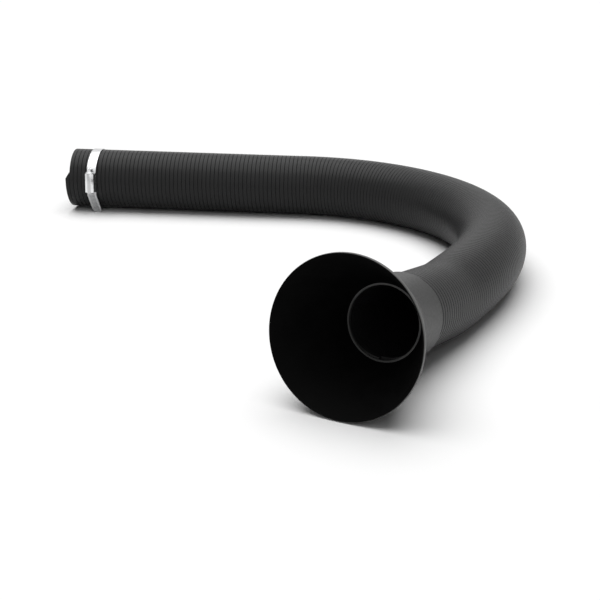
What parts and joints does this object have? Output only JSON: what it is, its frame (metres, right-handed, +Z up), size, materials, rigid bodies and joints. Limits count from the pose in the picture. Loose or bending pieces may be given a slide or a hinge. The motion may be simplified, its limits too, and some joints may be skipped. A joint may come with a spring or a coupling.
{
  "type": "fume extraction arm",
  "caption": "Flexible ribbed stay-put hose that carries fumes from a flared funnel on its free end to a duct, held there by a worm-drive clamp.",
  "frame": {"origin": "middle of the arm's outline, on the surface that the arm lies on", "axes": "+Z up from that surface, +X along the straight run from the duct end towards the bend, +Y from the funnel towards that run"},
  "size_m": [0.583, 0.6958, 0.1389],
  "materials": {
    "hose": "satin black, ribbed by the wound strip",
    "funnel": "satin black moulding",
    "clamp": "bright rolled stainless steel",
    "screw": "bright zinc-plated steel"
  },
  "bodies": {
    "duct_end": {"hose_length_01": "hose", "clamp_band": "clamp", "clamp_housing": "clamp"},
    "clamp_screw": {"clamp_screw": "screw"},
    "hose_02": {"hose_length_02": "hose"},
    "hose_03": {"hose_length_03": "hose"},
    "hose_04": {"hose_length_04": "hose"},
    "hose_05": {"hose_length_05": "hose"},
    "hose_06": {"hose_length_06": "hose"},
    "hose_07": {"hose_length_07": "hose"},
    "hose_08": {"hose_length_08": "hose"},
    "hose_09": {"hose_length_09": "hose"},
    "hose_10": {"hose_length_10": "hose"},
    "hose_11": {"hose_length_11": "hose"},
    "hose_12": {"hose_length_12": "hose"},
    "hose_13": {"hose_length_13": "hose"},
    "hose_14": {"hose_length_14": "hose"},
    "hose_15": {"hose_length_15": "hose"},
    "hose_16": {"hose_length_16": "hose"},
    "hose_17": {"hose_length_17": "hose"},
    "hose_18": {"hose_length_18": "hose"},
    "hose_19": {"hose_length_19": "hose"},
    "hose_20": {"hose_length_20": "hose"},
    "hose_21": {"hose_length_21": "hose"},
    "hose_22": {"hose_length_22": "hose"},
    "funnel_end": {"hose_length_23": "hose", "hose_length_24": "hose", "funnel": "funnel"}
  },
  "joints": [
    {"name": "bend_side_02", "type": "hinge", "parent": "duct_end", "child": "hose_02", "pos_m": [-0.24897, 0.30883, 0.03903], "axis": [-0.0053, 0, -1], "range_deg": [-25.6, 25.6], "deforming": ["hose_length_01"]},
    {"name": "bend_rise_03", "type": "hinge", "parent": "hose_02", "child": "hose_03", "pos_m": [-0.20652, 0.30883, 0.03881], "axis": [0, -1, 0], "range_deg": [-25.6, 25.6], "deforming": ["hose_length_02"]},
    {"name": "bend_side_04", "type": "hinge", "parent": "hose_03", "child": "hose_04", "pos_m": [-0.16406, 0.30883, 0.03858], "axis": [-0.0053, 0, -1], "range_deg": [-25.6, 25.6], "deforming": ["hose_length_03"]},
    {"name": "bend_rise_05", "type": "hinge", "parent": "hose_04", "child": "hose_05", "pos_m": [-0.1216, 0.30883, 0.03836], "axis": [0, -1, 0], "range_deg": [-25.6, 25.6], "deforming": ["hose_length_04"]},
    {"name": "bend_side_06", "type": "hinge", "parent": "hose_05", "child": "hose_06", "pos_m": [-0.07914, 0.30883, 0.03813], "axis": [-0.0053, 0, -1], "range_deg": [-25.6, 25.6], "deforming": ["hose_length_05"]},
    {"name": "bend_rise_07", "type": "hinge", "parent": "hose_06", "child": "hose_07", "pos_m": [-0.03668, 0.30883, 0.03791], "axis": [0, -1, 0], "range_deg": [-25.6, 25.6], "deforming": ["hose_length_06"]},
    {"name": "bend_side_08", "type": "hinge", "parent": "hose_07", "child": "hose_08", "pos_m": [0.00577, 0.30882, 0.03771], "axis": [0, 0, -1], "range_deg": [-34, 17.2], "deforming": ["hose_length_07"]},
    {"name": "bend_rise_09", "type": "hinge", "parent": "hose_08", "child": "hose_09", "pos_m": [0.04811, 0.30612, 0.03771], "axis": [-0.1462, -0.9893, 0], "range_deg": [-25.6, 25.6], "deforming": ["hose_length_08"]},
    {"name": "bend_side_10", "type": "hinge", "parent": "hose_09", "child": "hose_10", "pos_m": [0.08934, 0.29624, 0.03771], "axis": [0, 0, -1], "range_deg": [-45.9, 5.3], "deforming": ["hose_length_09"]},
    {"name": "bend_rise_11", "type": "hinge", "parent": "hose_10", "child": "hose_11", "pos_m": [0.12818, 0.27924, 0.03771], "axis": [0.4804, 0.877, 0], "range_deg": [-25.6, 25.6], "deforming": ["hose_length_10"]},
    {"name": "bend_side_12", "type": "hinge", "parent": "hose_11", "child": "hose_12", "pos_m": [0.16343, 0.25565, 0.03771], "axis": [0, 0, -1], "range_deg": [-45.9, 5.3], "deforming": ["hose_length_11"]},
    {"name": "bend_rise_13", "type": "hinge", "parent": "hose_12", "child": "hose_13", "pos_m": [0.19396, 0.22623, 0.03771], "axis": [0.7549, 0.6559, 0], "range_deg": [-25.6, 25.6], "deforming": ["hose_length_12"]},
    {"name": "bend_side_14", "type": "hinge", "parent": "hose_13", "child": "hose_14", "pos_m": [0.21883, 0.19189, 0.03771], "axis": [0, 0, -1], "range_deg": [-45.9, 5.3], "deforming": ["hose_length_13"]},
    {"name": "bend_rise_15", "type": "hinge", "parent": "hose_14", "child": "hose_15", "pos_m": [0.23725, 0.1537, 0.03771], "axis": [0.9356, 0.3532, 0], "range_deg": [-25.6, 25.6], "deforming": ["hose_length_14"]},
    {"name": "bend_side_16", "type": "hinge", "parent": "hose_15", "child": "hose_16", "pos_m": [0.24866, 0.11286, 0.03771], "axis": [0, 0, -1], "range_deg": [-45.9, 5.4], "deforming": ["hose_length_15"]},
    {"name": "bend_rise_17", "type": "hinge", "parent": "hose_16", "child": "hose_17", "pos_m": [0.2527, 0.07065, 0.03771], "axis": [1, 0.0075, 0], "range_deg": [-25.6, 25.6], "deforming": ["hose_length_16"]},
    {"name": "bend_side_18", "type": "hinge", "parent": "hose_17", "child": "hose_18", "pos_m": [0.2497, 0.02833, 0.03771], "axis": [0, 0, 1], "range_deg": [-10.6, 40.7], "deforming": ["hose_length_17"]},
    {"name": "bend_rise_19", "type": "hinge", "parent": "hose_18", "child": "hose_19", "pos_m": [0.24119, -0.01324, 0.03771], "axis": [0.9676, -0.2523, 0], "range_deg": [-25.6, 25.6], "deforming": ["hose_length_18"]},
    {"name": "bend_side_20", "type": "hinge", "parent": "hose_19", "child": "hose_20", "pos_m": [0.22882, -0.05384, 0.03771], "axis": [0, 0, 1], "range_deg": [-19.2, 32], "deforming": ["hose_length_19"]},
    {"name": "bend_rise_21", "type": "hinge", "parent": "hose_20", "child": "hose_21", "pos_m": [0.21419, -0.0937, 0.03771], "axis": [0.9333, -0.359, 0], "range_deg": [-18.8, 32.4], "deforming": ["hose_length_20"]},
    {"name": "bend_side_22", "type": "hinge", "parent": "hose_21", "child": "hose_22", "pos_m": [0.19882, -0.13321, 0.03933], "axis": [0.043, 0.1103, 0.993], "range_deg": [-25.3, 25.9], "deforming": ["hose_length_21"]},
    {"name": "bend_rise_23", "type": "hinge", "parent": "hose_22", "child": "funnel_end", "pos_m": [0.18357, -0.17234, 0.04557], "axis": [0.9317, -0.3633, 0], "range_deg": [-23.7, 27.5], "deforming": ["hose_length_22", "hose_length_23"]},
    {"name": "screw_turn", "type": "hinge", "parent": "duct_end", "child": "clamp_screw", "pos_m": [-0.25641, 0.26515, 0.04289], "axis": [0.0053, 0.0872, 0.9962], "continuous": true}
  ]
}
